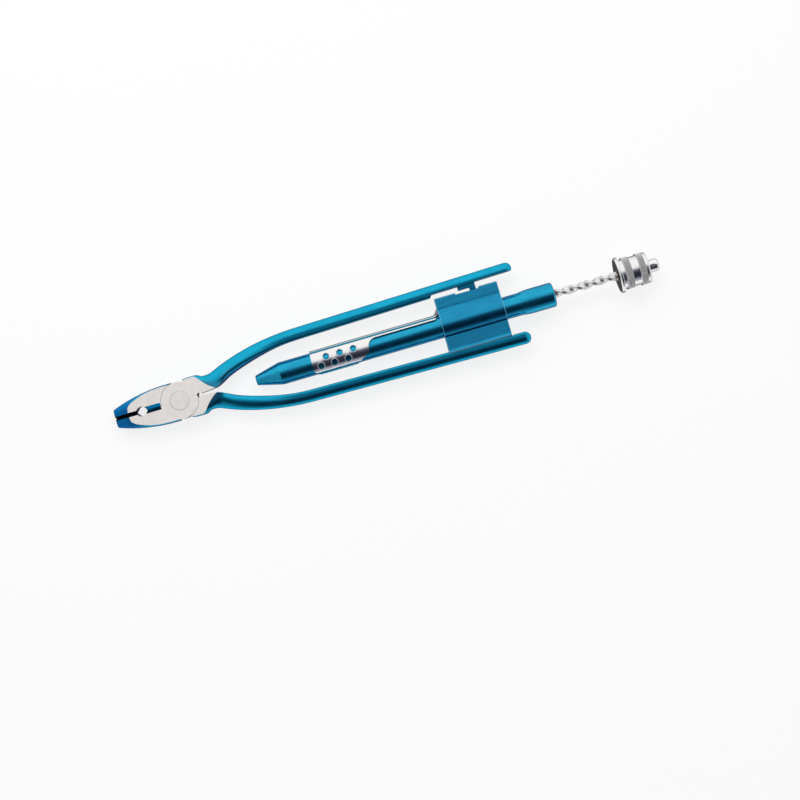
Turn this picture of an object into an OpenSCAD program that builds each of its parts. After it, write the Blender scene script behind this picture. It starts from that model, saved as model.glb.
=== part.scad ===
// Safety wire twisting pliers: two crossed levers on one rivet, a twist tube
// carried by the lower handle, and a spiral rod that spins the tool when its
// knob is pulled. All sizes are millimetres.
//
// Frame: the pliers lie flat. +Z is the pivot axis, +X runs from the pivot
// towards the knob, and the origin is on the pivot axis at the lower ground
// face of the head.

/* [Head] */
// Thickness of the ground head
head_t = 10; // [9:0.5:12]
// Distance from the pivot to the jaw tips
jaw_reach = 39.5; // [37:0.5:44]
// Width over both jaws at the tips
tip_w = 10.2; // [9:0.2:12]
// Thickness of the jaws at the tips
tip_t = 5.6; // [5:0.2:7]
// Length of the tapered nose, from the tips
nose_taper_len = 7; // [5:0.5:9]
// Width over both jaws at the shoulders
head_w = 22.9; // [22.6:0.1:24]
// Radius of the lap disc that each lever turns on
disc_r = 11; // [10.6:0.1:11.1]
// Gap between the two handle roots, jaws shut
slit = 1; // [0.6:0.1:1.4]
// Gap between the gripping faces, jaws shut
jaw_gap = 0.12; // [0.1:0.02:0.3]

/* [Jaw faces] */
// Radius of the round grip behind the serrated faces
grip_r = 2.5; // [2:0.1:2.8]
// Distance from the pivot to the middle of the round grip
grip_x = 23.2; // [22:0.1:25]
// Length of the cutting edges
cutter_len = 9.6; // [8:0.1:10.4]
// Width of the cutter's opening at the ground faces
cutter_w = 4.1; // [3:0.1:5]
// Land left between the two bevels of a cutting edge
cutter_land = 0.6; // [0.4:0.1:1.5]
// Widest opening of the relief along the gripping faces
relief_w = 2.8; // [2:0.1:3.4]
// Depth of that relief below the ground faces
relief_depth = 2.2; // [1.5:0.1:3]
// Number of serrations in each gripping face
serrations = 9; // [5:1:12]
// Depth of a serration
serration_depth = 0.3; // [0.2:0.05:0.5]

/* [Pivot] */
// Radius of the rivet's shank
rivet_r = 4; // [3.5:0.1:4.5]
// Radius of the rivet's flush heads
rivet_head_r = 5.6; // [5.2:0.1:6]
// Thickness of a rivet head
rivet_head_t = 2; // [1.5:0.1:2.5]
// Opening angle of the jaws at rest
wire_open = 0.8; // [0.6:0.1:0.9]

/* [Handles] */
// Diameter of the handle bars
handle_d = 7.3; // [6.8:0.1:7.4]
// Diameter of the stouter bow next to the head
bow_d = 7.7; // [7.5:0.1:8]
// Distance from the pivot to the handle ends
handle_reach = 208.5; // [203:0.5:225]
// Place of the handle's neck along the tool
neck_x = 22; // [21:0.5:24]
// Place of the handle's neck from the middle line
neck_y = 6.3; // [5.8:0.1:6.8]
// Diameter of the neck where the handle bar leaves it
neck_d = 8.3; // [8:0.1:8.6]
// Angle at which the handle leaves the neck
neck_angle = 24.3; // [23.8:0.1:24.8]
// Radius of the handle's bow
bow_r = 135; // [133:1:137]
// Lean of the straight part of the handle, jaws shut
handle_lean = 0.65; // [0.4:0.05:0.9]
// Depth of the flat along the inside of the upper handle
flat_depth = 1.7; // [1.4:0.1:2]
// Depth of the seat that holds the shield on the lower handle
seat_depth = 0.9; // [0.7:0.1:1.3]

/* [Twist tube] */
// Outer diameter of the tube
tube_d = 13.4; // [13:0.1:13.8]
// Wall of the tube
tube_wall = 0.8; // [0.6:0.1:1]
// Place of the tube's front tip
tube_front = 46; // [44:0.5:50]
// Length of the swaged nose
tube_nose_len = 15; // [12:0.5:18]
// Diameter of the nose's tip
tube_tip_d = 5.8; // [5:0.2:7]
// Place of the tube's rear end
tube_rear = 228.2; // [224:0.2:234]
// Outer diameter of the flared rear end
flare_d = 14.7; // [14.5:0.1:15]
// Length of the flared rear end, without its cone
flare_len = 15.2; // [14:0.2:17]
// Length of the cone between tube and flare
flare_cone_len = 6; // [4:0.5:7]
// Rounding of the rear end
end_round = 2.4; // [1.6:0.2:2.8]
// Radius of the tube's rear mouth
mouth_r = 4.6; // [4.2:0.1:4.8]
// Distance of the tube axis below the middle line
tube_drop = 1.2; // [1:0.1:1.4]

/* [Shield] */
// Front end of the shield
shield_x = 159.5; // [158.5:0.5:161]
// Length of the shield
shield_len = 38.2; // [37:0.2:40]
// Sheet thickness of the shield
shield_t = 0.9; // [0.7:0.1:1.1]
// Space between the two sides of the shield
shield_gap = 5; // [4.8:0.1:5.4]
// Gap between the shield and the upper handle's flat
shield_clear = 3.1; // [3:0.1:3.4]
// Depth of the hook's notch in the shield's open edge
notch_depth = 1; // [0.6:0.1:1.2]

/* [Latch] */
// Thickness of the latch hook
hook_t = 3; // [2.4:0.1:3.4]
// Front of the hook, from the shield's front end
hook_x = 15; // [14:0.5:16]
// Length of the hook's block on the handle
hook_len = 10.5; // [9.5:0.5:11]
// Height of the block below the handle's flat
hook_block_h = 2.4; // [2:0.1:2.6]
// Width of the hook's stem
hook_stem_w = 3.7; // [3:0.1:4.2]
// Reach of the stem below the handle's flat
hook_stem_h = 7.9; // [7:0.1:8.2]
// Length of the hook's foot
hook_foot_len = 3.4; // [3:0.1:3.8]
// Height of the hook's foot
hook_foot_h = 1.4; // [1:0.1:1.6]

/* [Slide lock] */
// Sheet thickness of the slide
slide_t = 0.9; // [0.7:0.1:1]
// Front end of the thumb pad
pad_x = 80.5; // [78:0.5:84]
// Length of the thumb pad
pad_len = 34.5; // [33:0.5:38]
// Half of the opening along the underside of the pad, degrees
pad_gap = 12; // [8:1:20]
// Radius of the pad's front corner
pad_front_r = 3; // [2:0.5:4]
// Radius of the pad's rear corner
pad_rear_r = 7; // [5:0.5:8]
// Radius of the fillet between pad and strip
strip_fillet = 5; // [3:0.5:5.5]
// Half width of the strip, degrees about the tube
strip_angle = 28; // [22:1:32]
// Half width of the strip inside the shield, degrees about the tube
tail_angle = 14; // [10:1:15]
// Thickness of the latch plate
tail_t = 1.2; // [1:0.1:1.6]
// Gap left between the latch plate and the hook's foot
latch_gap = 1.6; // [1.4:0.1:2]
// Radius of the grip holes
hole_r = 1.9; // [1.5:0.1:2.1]
// Spacing of the grip holes along the pad
hole_pitch = 8.25; // [7.5:0.25:9]
// Angles of the two rows of holes above the side of the tube
hole_rows = [15.5, -20.5];
// Travel of the slide towards the jaws
slide_travel = 8; // [5:0.5:10]

/* [Spiral rod] */
// Width of the twisted bar
rod_w = 5; // [4.6:0.1:5.2]
// Thickness of the twisted bar
rod_t = 2.8; // [2.4:0.1:3.2]
// Length of one full turn of the twist
lead = 18.65; // [17:0.05:21]
// How far the knob is pulled out of the tube at rest
rod_out = 38.7; // [36:0.1:42]
// Place of the rod's front end at rest
rod_front = 99; // [98:0.5:104]
// Radius of the rod's plain ends
shank_r = 1.9; // [1.7:0.1:2]
// Length of the drive nut
nut_len = 6; // [5:0.2:7]
// Length of the stop on the rod's front end
stop_len = 6; // [5:0.5:8]

/* [Knob] */
// Radius of the knob's front flange
flange_r = 10.7; // [10.3:0.1:11.5]
// Radius of the knurled bands
band_r = 9.6; // [9.2:0.1:10]
// Radius of the grooves between the bands
groove_r = 8.8; // [8.2:0.1:9]
// Thickness of the front flange
flange_t = 2; // [1.6:0.1:2.4]
// Length of the front groove
front_groove_len = 2.1; // [1.7:0.1:2.5]
// Length of the front knurled band
front_band_len = 4; // [3.6:0.1:4.4]
// Length of the groove between the bands
mid_groove_len = 4.6; // [4:0.1:5.2]
// Length of the rear knurled band
rear_band_len = 3.7; // [3.3:0.1:4.1]
// Length of the rear rim
rim_len = 2.2; // [1.8:0.1:2.6]
// Wall of the bush in the knob
bush_wall = 0.9; // [0.7:0.1:1.2]
// Thickness of the thrust washer
washer_t = 0.6; // [0.5:0.1:0.8]
// Depth of the washer's pocket in the knob's rear face
pocket_depth = 3; // [2.4:0.1:3.6]
// Radius of the end stub
stub_r = 3.7; // [3.4:0.1:4]
// Length of the stub behind the knob
stub_out = 6.6; // [6:0.2:8]
// Radius of the cross pins
pin_r = 0.8; // [0.6:0.1:0.9]

/* [Clearances] */
// Radial clearance of the pivot and of fixed round seats
fit = 0.05; // [0.03:0.01:0.08]
// Clearance of sliding and turning pieces
run = 0.15; // [0.1:0.01:0.2]
// Clearance round the twisted bar in its drive nut
twist_clear = 0.3; // [0.25:0.05:0.4]
// Clearance between the two lap discs
lap = 0.1; // [0.06:0.02:0.2]

/* [Hidden] */
$fn = 64;

blue = [0.05, 0.45, 0.68];
steel = [0.78, 0.76, 0.74];
chrome = [0.85, 0.85, 0.86];
bronze = [0.7, 0.52, 0.3];

// Heights, radii and half widths used in several places
mid_z = head_t / 2;
half_open = wire_open / 2;
handle_r = handle_d / 2;
tube_r = tube_d / 2;
tube_bore_r = tube_r - tube_wall;
flare_r = flare_d / 2;
flare_bore_r = flare_r - tube_wall;
past = 1;

// Shoulders of the head: the jaws end and the handle roots start here
jaw_shoulder_x = -3;
root_shoulder_x = 4.6;
root_end_x = 13.2;
root_w = 23.6;
jaw_crown_x = -5;
relief_hole_r = 0.8;
nose_bevel_r = 15.3;
neck_len = 2.5;
root_run = 7;

// Arc of the jaw's outer edge, level at the crown and through the tip's corner
jaw_arc_dx = jaw_reach + jaw_crown_x;
jaw_arc_dy = (head_w - tip_w) / 2;
jaw_arc_r = (jaw_arc_dx * jaw_arc_dx + jaw_arc_dy * jaw_arc_dy) / (2 * jaw_arc_dy);

// Handle line with the jaws shut: neck, bow, then a straight bar
bow_centre = [neck_x + bow_r * sin(neck_angle), neck_y - bow_r * cos(neck_angle)];
bow_end = bow_centre + bow_r * [-sin(handle_lean), cos(handle_lean)];
bow_sweep = neck_angle - handle_lean;
bar_len = (handle_reach - handle_r - bow_end[0]) / cos(handle_lean);

function turned(p, a) = [p[0] * cos(a) - p[1] * sin(a), p[0] * sin(a) + p[1] * cos(a)];
bow_end_rest = turned(bow_end, half_open);
function handle_y_rest(x) =
    bow_end_rest[1] + (x - bow_end_rest[0]) * tan(handle_lean + half_open);

// Shield: seated on the lower handle, open towards the upper one
shield_end = shield_x + shield_len;
shield_mid = shield_x + shield_len / 2;
seat_y = -(handle_y_rest(shield_mid) - handle_r + seat_depth);
flat_y_rest = handle_y_rest(shield_mid) - handle_r + flat_depth;
shield_top = flat_y_rest - shield_clear;
shield_w = shield_gap + 2 * shield_t;

// Slide lock: sleeve radii, and the latch plate under the hook
slide_r = tube_r + run;
slide_top_r = slide_r + slide_t;
hook_front = shield_x + hook_x;
hook_stem_x = hook_front + hook_len - hook_stem_w;
foot_front = hook_stem_x - hook_foot_len;
latch_nose_x = foot_front - latch_gap;
foot_top_y = flat_y_rest - hook_stem_h + hook_foot_h;
latch_nose_h = 0.9;
latch_heel = 6;
latch_nose_y = foot_top_y + 0.3;
tail_rise_x = shield_x - 5;
strip_top_y = slide_top_r - tube_drop;

// Knob and rod: stations along the tube axis
knob_x = tube_rear + rod_out;
knob_steps = [flange_t, front_groove_len, front_band_len, mid_groove_len, rear_band_len, rim_len];
function sum(list, n, i = 0) = i >= n ? 0 : list[i] + sum(list, n, i + 1);
knob_end = knob_x + sum(knob_steps, len(knob_steps));
twist_end = knob_x - 0.4;
stop_end = rod_front + stop_len;
pocket_x = knob_end - pocket_depth;
washer_x = pocket_x + run;
stub_x = washer_x + washer_t + run;
stub_end = knob_end + stub_out;
shank_end = stub_end - 2.4;
stop_pin_x = rod_front + stop_len / 2;
stub_pin_x = knob_end + stub_out / 2 - 0.8;
pocket_r = stub_r + 0.9;
bush_r = shank_r + bush_wall;
nut_x = tube_rear - flare_len + 0.4;
nut_end = nut_x + nut_len;
lip_t = 1.2;
bush_end = tube_rear - lip_t - fit;
slices_per_turn = 12;

function twist_at(x) = 360 * x / lead;

// Outline of the twisted bar: a flat bar with well rounded edges
function bar_outline(w, t) = [
    for (a = [0:30:330])
        [w / 2 * sign(cos(a)) * pow(abs(cos(a)), 0.8), t / 2 * sign(sin(a)) * pow(abs(sin(a)), 0.7)]
];

// Moves a shape drawn about the middle plane to its height
module on_mid() translate([0, 0, mid_z]) children();

// Moves a shape drawn about the X axis to the tube axis
module on_tube() translate([0, -tube_drop, mid_z]) children();

// Turns a profile of [radius, place along X] about the X axis
module turn_x(start = 0, sweep = 360) {
    rotate([0, 90, 0]) rotate([0, 0, start]) rotate_extrude(angle = sweep) children();
}

// Draws a section of [Y, Z] along X
module along_x(x0, x1) {
    translate([x0, 0, 0]) rotate([90, 0, 90]) linear_extrude(x1 - x0) children();
}

// Ring about the tube axis
module ring(r_in, r_out, x0, x1) {
    turn_x() translate([r_in, x0]) square([r_out - r_in, x1 - x0]);
}

// Length of twisted bar between two stations
module twisted_bar(x0, x1, w, t) {
    translate([x0, 0, 0]) rotate([0, 90, 0]) rotate([0, 0, twist_at(x0)])
        linear_extrude(
            x1 - x0, twist = twist_at(x0 - x1),
            slices = ceil((x1 - x0) / lead * slices_per_turn), segments = 12
        ) polygon(bar_outline(w, t));
}

// Frame of the straight bar: X along the bar, its origin at the handle's round end
module on_bar() {
    translate([bow_end[0], bow_end[1], 0]) rotate([0, 0, handle_lean]) translate([bar_len, 0, 0]) children();
}

// Lower jaw in plan: the outer arc, cut at the tip, the shoulder and the gripping face
module jaw_plan() {
    intersection() {
        translate([jaw_crown_x, jaw_arc_r - head_w / 2]) circle(r = jaw_arc_r, $fn = 128);
        translate([-jaw_reach, -head_w])
            square([jaw_reach + jaw_shoulder_x, head_w - jaw_gap / 2]);
    }
}

// Bevel that thins the jaws to a nose, turned about an upright axis behind it
module nose_bevel() {
    start_r = nose_bevel_r;
    end_r = nose_bevel_r + nose_taper_len + past;
    drop = (head_t - tip_t) / 2 * (nose_taper_len + past) / nose_taper_len;
    for (side = [0, 180])
        translate([-jaw_reach + nose_taper_len + nose_bevel_r, 0, 0]) rotate([side, 0, 90])
            rotate_extrude(angle = 180, $fn = 128) polygon([
                [start_r, head_t / 2], [end_r, head_t / 2 - drop],
                [end_r + past, head_t / 2 - drop], [end_r + past, head_t], [start_r, head_t],
            ]);
}

// Handle root in plan, above the slit: ground to the full thickness of the head
module root_plan() {
    polygon([
        [root_shoulder_x, slit / 2],
        [neck_x, slit / 2],
        [neck_x - 3, neck_y - 1.8],
        [neck_x - root_run, neck_y + 0.4],
        [root_end_x, root_w / 2 - 2.6],
        [root_end_x, root_w / 2 - 0.2],
        [root_shoulder_x + 2.4, root_w / 2],
        [root_shoulder_x, root_w / 2 - 0.4],
    ]);
}

// Neck between the ground root and the round handle bar
module neck() {
    neck_t = head_t - 1.4;
    hull() {
        linear_extrude(neck_t, center = true)
            polygon([
                [root_end_x - 1, slit / 2 + 1.2],
                [neck_x - 1, slit / 2 + 0.4],
                [root_end_x + 3, neck_y + handle_r],
                [root_end_x - 1, root_w / 2 - 1.4],
            ]);
        translate([neck_x, neck_y, 0]) rotate([0, 0, neck_angle]) rotate([0, 90, 0])
            cylinder(d = neck_d, h = neck_len, $fn = 32);
    }
}

// Handle bar: the bow, the straight bar and its round end
module handle_bar() {
    translate([bow_centre[0], bow_centre[1], 0]) rotate([0, 0, 90 + handle_lean])
        rotate_extrude(angle = bow_sweep) translate([bow_r, 0]) circle(d = bow_d);
    on_bar() turn_x() polygon(concat(
        [[0, -bar_len - past], [handle_r, -bar_len - past]],
        [for (a = [0:15:90]) [handle_r * cos(a), handle_r * sin(a)]]
    ));
}

// Room between the jaws: round grip, cutter bevels, tapered relief and serrations
module jaw_cuts() {
    cutter_x = -grip_x + grip_r - 0.4;
    grip_end = -grip_x - grip_r;
    linear_extrude(head_t + past, center = true) translate([-grip_x, 0]) circle(r = grip_r);
    for (side = [0, 180]) rotate([side, 0, 0]) {
        along_x(cutter_x, cutter_x + cutter_len)
            polygon([[-cutter_w / 2, head_t / 2], [0, cutter_land / 2], [cutter_w / 2, head_t / 2],
                [cutter_w / 2, head_t], [-cutter_w / 2, head_t]]);
        along_x(-jaw_reach - past, grip_end + 1)
            polygon([[-relief_w / 2, head_t / 2], [0, head_t / 2 - relief_depth], [relief_w / 2, head_t / 2],
                [relief_w / 2, head_t], [-relief_w / 2, head_t]]);
    }
    pitch = (jaw_reach + grip_end - 1) / serrations;
    for (i = [0:serrations - 1])
        translate([-jaw_reach + (i + 0.5) * pitch, 0, 0]) rotate([0, 0, 45])
            cube([serration_depth * 2, serration_depth * 2, head_t + past], center = true);
}

// Lever with its handle above and its jaw below, on the upper half of the lap joint
module lever() {
    difference() {
        union() {
            difference() {
                linear_extrude(head_t, center = true) jaw_plan();
                nose_bevel();
            }
            translate([0, 0, lap / 2]) cylinder(r = disc_r, h = (head_t - lap) / 2);
            linear_extrude(head_t, center = true) root_plan();
            neck();
            handle_bar();
        }
        translate([0, 0, -head_t]) cylinder(r = disc_r + run, h = head_t + lap / 2);
        translate([0, 0, -head_t]) cylinder(r = rivet_r + fit, h = 2 * head_t);
        translate([0, 0, head_t / 2 - rivet_head_t - fit]) cylinder(r = rivet_head_r + fit, h = head_t);
        translate([disc_r + relief_hole_r, 0, -head_t]) cylinder(r = relief_hole_r + slit / 2, h = 2 * head_t);
        jaw_cuts();
    }
}

module upper_lever() {
    flat_from = bar_len - (shield_x - 1 - bow_end[0]);
    color(blue) on_mid() rotate([0, 0, half_open])
        difference() {
            lever();
            on_bar() translate([-flat_from, -handle_d - (handle_r - flat_depth), -handle_d])
                cube([flat_from + handle_d, handle_d, 2 * handle_d]);
        }
}

module lower_lever() {
    color(blue) on_mid() difference() {
        rotate([180, 0, -half_open]) lever();
        translate([shield_x - fit, seat_y, -handle_d]) cube([shield_len + 2 * fit, handle_d, 2 * handle_d]);
    }
}

module pivot_rivet() {
    color(steel) rotate_extrude() polygon([
        [0, 0], [rivet_head_r, 0], [rivet_head_r, rivet_head_t], [rivet_r, rivet_head_t],
        [rivet_r, head_t - rivet_head_t], [rivet_head_r, head_t - rivet_head_t],
        [rivet_head_r, head_t], [0, head_t],
    ]);
}

// Hook on the upper handle's flat: block, stem and a foot that points at the jaws
module latch_hook() {
    flat = -(handle_r - flat_depth);
    back = hook_front - bow_end_rest[0] - bar_len;
    stem = back + hook_len - hook_stem_w;
    color(blue) on_mid() rotate([0, 0, half_open]) on_bar()
        translate([0, flat, 0]) linear_extrude(hook_t, center = true) {
            translate([back, -hook_block_h]) square([hook_len, hook_block_h]);
            translate([stem, -hook_stem_h]) square([hook_stem_w, hook_stem_h]);
            translate([stem - hook_foot_len, -hook_stem_h]) square([hook_foot_len + hook_stem_w, hook_foot_h]);
        }
}

// Folded sheet: closed on the lower handle, bulged round the tube, open above
module shield() {
    notch_x0 = hook_front - 2.2;
    notch_x1 = hook_front + hook_len + 1.6;
    color(blue) on_mid() difference() {
        along_x(shield_x, shield_end) {
            translate([seat_y, -shield_w / 2]) square([shield_top - seat_y, shield_w]);
            translate([-tube_drop, 0]) circle(r = tube_r + fit + shield_t);
        }
        along_x(shield_x - past, shield_end + past) {
            translate([seat_y + shield_t, -shield_gap / 2]) square([shield_top - seat_y, shield_gap]);
            translate([-tube_drop, 0]) circle(r = tube_r + fit);
        }
        translate([notch_x0, shield_top - notch_depth, -shield_w])
            cube([notch_x1 - notch_x0, shield_w, 2 * shield_w]);
    }
}

// Tube: swaged to a nose in front, flared and rolled in behind
module twist_tube() {
    flare_x = tube_rear - flare_len;
    cone_x = flare_x - flare_cone_len;
    nose_x = tube_front + tube_nose_len;
    tip_r = tube_tip_d / 2;
    vent_r = 1;
    color(blue) on_tube() turn_x() polygon(concat(
        [[vent_r, tube_front], [tip_r, tube_front], [tube_r, nose_x], [tube_r, cone_x], [flare_r, flare_x]],
        [for (a = [0:15:90])
            [flare_r - end_round * (1 - cos(a)), tube_rear - end_round * (1 - sin(a))]],
        [[mouth_r, tube_rear], [mouth_r, tube_rear - lip_t], [flare_bore_r, tube_rear - lip_t - end_round / 2],
            [flare_bore_r, flare_x], [tube_bore_r, cone_x], [tube_bore_r, nose_x],
            [tip_r - tube_wall, tube_front + 2 * tube_wall], [vent_r, tube_front + 2 * tube_wall]]
    ));
}

module drive_nut() {
    color(steel) on_tube() difference() {
        ring(0, flare_bore_r - fit, nut_x, nut_end);
        twisted_bar(nut_x - past, nut_end + past, rod_w + 2 * twist_clear, rod_t + 2 * twist_clear);
    }
}

// Plain guide between the drive nut and the tube's rolled mouth
module end_bush() {
    shoulder_x = tube_rear - lip_t - end_round / 2 - fit;
    color(bronze) on_tube() turn_x() polygon([
        [rod_w / 2 + twist_clear, nut_end + fit], [flare_bore_r - fit, nut_end + fit],
        [flare_bore_r - fit, shoulder_x], [mouth_r - fit, bush_end],
        [mouth_r - fit, tube_rear], [rod_w / 2 + twist_clear, tube_rear],
    ]);
}

// Thumb pad, strip along the tube's top and latch plate, all one pressing
module slide_lock() {
    reach = slide_top_r + past;
    tail_end = latch_nose_x - 2;
    tail_w = 2 * slide_r * sin(tail_angle);
    color(chrome) on_tube() difference() {
        union() {
            turn_x(270 + pad_gap, 360 - 2 * pad_gap)
                translate([slide_r, pad_x]) square([slide_t, tail_end - pad_x]);
            latch_plate();
        }
        translate([0, 0, -reach]) linear_extrude(2 * reach) slide_corners(tail_end);
        for (side = [0, 180])
            rotate([side, 0, 0]) translate([tail_rise_x, -reach, tail_w / 2])
                cube([tail_end - tail_rise_x + past, 2 * reach, reach]);
        for (row = [0, 1], i = [0:2], side = [0, 1])
            pad_hole(pad_x + 9 - row * hole_pitch / 2 + i * hole_pitch, hole_rows[row], side);
    }
}

// Cut from the slide, seen from the side: the pad's lower corners and the room below the strip
module slide_corners(tail_end) {
    low = -slide_top_r;
    pad_end = pad_x + pad_len;
    strip_low = slide_r * cos(strip_angle);
    difference() {
        translate([pad_x - past, low - past]) square([pad_front_r + past, pad_front_r + past]);
        translate([pad_x + pad_front_r, low + pad_front_r]) circle(r = pad_front_r);
    }
    difference() {
        translate([pad_end - pad_rear_r, low - past]) square([pad_rear_r + past, pad_rear_r + past]);
        translate([pad_end - pad_rear_r, low + pad_rear_r]) circle(r = pad_rear_r);
    }
    translate([pad_end, low - past]) square([strip_fillet, strip_low - low - strip_fillet + past]);
    translate([pad_end + strip_fillet, strip_low - strip_fillet]) circle(r = strip_fillet);
    translate([pad_end + strip_fillet, low - past]) square([tail_end - pad_end, strip_low - low + past]);
}

module pad_hole(x, angle, side) {
    around = side == 0 ? 180 - angle : angle;
    rotate([0, 90, 0]) rotate([0, 0, around]) translate([slide_r - past, 0, x]) rotate([0, 90, 0])
        cylinder(r = hole_r, h = slide_t + 2 * past);
}

// Plate that stands on the strip inside the shield and ends short of the hook's foot
module latch_plate() {
    base = slide_top_r - slide_t / 2;
    nose_y = latch_nose_y + tube_drop;
    translate([0, 0, -tail_t / 2]) linear_extrude(tail_t) polygon([
        [tail_rise_x, base], [shield_x + 0.5, nose_y - 2], [shield_x + 3, nose_y + latch_nose_h],
        [latch_nose_x, nose_y + latch_nose_h], [latch_nose_x, nose_y], [latch_nose_x - 4, nose_y - 0.6],
        [latch_nose_x - latch_heel, base],
    ]);
}

module spiral_rod() {
    color(chrome) on_tube() {
        twisted_bar(stop_end, twist_end, rod_w, rod_t);
        difference() {
            turn_x() translate([0, rod_front]) square([shank_r, stop_len + past]);
            cross_pin(stop_pin_x, tube_r, pin_r + fit);
        }
        difference() {
            turn_x() translate([0, twist_end - past]) square([shank_r, shank_end - twist_end + past]);
            cross_pin(stub_pin_x, tube_r, pin_r + fit);
        }
    }
}

module rod_stop() {
    color(bronze) on_tube() difference() {
        ring(shank_r + fit, tube_bore_r - run, rod_front, stop_end - fit);
        cross_pin(stop_pin_x, tube_r, pin_r + fit);
    }
}

// Pin across the tube axis, drilled or solid
module cross_pin(x, half_len, r) translate([x, 0, -half_len]) cylinder(r = r, h = 2 * half_len);

module stop_pin() {
    color(steel) on_tube() cross_pin(stop_pin_x, tube_bore_r - 2 * run, pin_r);
}

// Knob: flange, two knurled bands with grooves between, and a rear rim
module pull_knob() {
    radii = [flange_r, groove_r, band_r, groove_r, band_r, band_r - 0.4];
    count = len(knob_steps);
    outer = [for (i = [0:count - 1], end = [0, 1]) [radii[i], knob_x + sum(knob_steps, i + end)]];
    color(chrome) on_tube() turn_x() polygon(concat(
        [[bush_r + fit, knob_x]], outer,
        [[pocket_r, knob_end], [pocket_r, pocket_x], [bush_r + fit, pocket_x]]
    ));
}

module knob_bush() {
    color(bronze) on_tube() ring(shank_r + fit, bush_r, knob_x, pocket_x);
}

module thrust_washer() {
    color(steel) on_tube() ring(shank_r + run, pocket_r - run, washer_x, washer_x + washer_t);
}

// Stub pinned to the rod's end: it draws the rod when the knob is pulled
module end_stub() {
    round_r = 1.6;
    color(chrome) on_tube() difference() {
        turn_x() polygon(concat(
            [[shank_r + fit, stub_x], [stub_r, stub_x]],
            [for (a = [0:15:90]) [stub_r - round_r * (1 - cos(a)), stub_end - round_r * (1 - sin(a))]],
            [[0, stub_end], [0, shank_end + fit], [shank_r + fit, shank_end + fit]]
        ));
        cross_pin(stub_pin_x, stub_r + past, pin_r + fit);
    }
}

module stub_pin() {
    color(steel) on_tube() cross_pin(stub_pin_x, stub_r - fit, pin_r);
}

lower_lever();
upper_lever();
pivot_rivet();
latch_hook();
shield();
twist_tube();
drive_nut();
end_bush();
slide_lock();
spiral_rod();
rod_stop();
stop_pin();
pull_knob();
knob_bush();
thrust_washer();
end_stub();
stub_pin();
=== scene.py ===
import math

import bmesh
import bpy
import numpy as np
from mathutils import Matrix, Vector


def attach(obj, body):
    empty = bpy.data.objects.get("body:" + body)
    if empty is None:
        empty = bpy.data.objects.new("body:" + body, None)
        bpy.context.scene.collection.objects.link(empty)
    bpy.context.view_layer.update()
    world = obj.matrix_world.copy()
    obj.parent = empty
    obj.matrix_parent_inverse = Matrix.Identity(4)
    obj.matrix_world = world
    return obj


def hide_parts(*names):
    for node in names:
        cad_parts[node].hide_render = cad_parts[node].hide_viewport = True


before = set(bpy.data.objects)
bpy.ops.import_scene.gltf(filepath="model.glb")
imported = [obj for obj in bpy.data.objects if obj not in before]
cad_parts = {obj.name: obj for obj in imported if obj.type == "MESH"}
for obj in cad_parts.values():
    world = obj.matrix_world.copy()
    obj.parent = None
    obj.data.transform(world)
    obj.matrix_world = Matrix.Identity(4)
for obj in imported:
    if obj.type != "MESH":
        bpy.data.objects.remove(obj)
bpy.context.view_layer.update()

# Lengths are millimetres until a piece is fitted to its body
MM = 0.001
# The head is ground to FACE on both sides of its middle, which lies MID_Z above its lower face
FACE = 5.0
MID_Z = 5.0
TUBE_Y = -1.2
# Each lever is turned this far from shut at rest
HALF_OPEN = math.radians(0.4)
# Far enough to cut through any piece
THROUGH = 8.0

# Jaws, towards -X
JAW_REACH = 39.5
JAW_SHOULDER = -3.0
JAW_CROWN = -5.0
JAW_GAP = 0.06
JAW_THICK = 6.35
JAW_SWELL, JAW_SWELL_X = 0.5, (-26.0, -15.0)
# From here to the tip the jaw thins, by a slope and a curve, and once more along the nose
JAW_THIN_X, JAW_SLOPE, JAW_CURVE = -14.0, 0.0353, 0.00255
NOSE_X, NOSE_DROP = -33.0, 0.8
HEAD_HALF = 11.45
TIP_HALF = 5.1
TIP_ROUND = 0.55
# Middle and half sizes of the round grip behind the teeth
GRIP_X, GRIP_HALVES = -23.2, (3.0, 2.7)
TEETH, TOOTH, TEETH_END = 12, 0.42, 26.7
BITE_X, BITE_HALF = -25.6, 1.25
# Groove above the cutting edges, and the relief along the gripping faces
CUTTER_X, CUTTER_HALF, CUTTER_Z = (-21.1, -11.5), 1.95, 2.4
RELIEF_X, RELIEF_HALF, RELIEF_FLOOR_HALF, RELIEF_Z = (-41.0, -24.7), 1.1, 0.3, 1.2
# Lips that reach over into the other jaw's rebates, as stretches along the tool
LIPS_X = ((-39.2, -26.4), (-20.2, -11.45))
REBATES_X = ((-41.0, -26.2), (-20.4, -11.3))
LIP_REACH, LIP_LOW, LIP_HIGH = 0.42, 0.06, 0.9
REBATE_DEPTH, REBATE_LOW = 0.62, -1.0

# Lap joint and the slit between the handle roots
DISC_R = 11.0
LAP_Z = 0.05
LAP_GAP = 0.2
RIVET_R = 5.6
RIVET_GAP = 0.06
SLIT_HALF = 0.5
SLIT_FLARE, SLIT_OPENS_X = 0.06, 12.5
SLIT_END_X, SLIT_END_R = 11.75, 1.15
ROOT_START = 4.6
ROOT_EDGE = 10.15
SHOULDER_RISE, ROOT_CUT = 1.65, 0.35

# Handles
NECK = (22.0, 6.3)
NECK_ANGLE = math.radians(24.3)
NECK_R = 4.2
# The forging is turned a little about its length along the neck
NECK_TWIST = math.radians(10.0)
# Round brow where the ground face of the head ends and the handle's neck begins
BROW_X, BROW_Y, BROW_R = 28.9, 15.9, 16.2
BROW_RISE = 0.8
NECK_SWELL = 0.45
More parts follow.
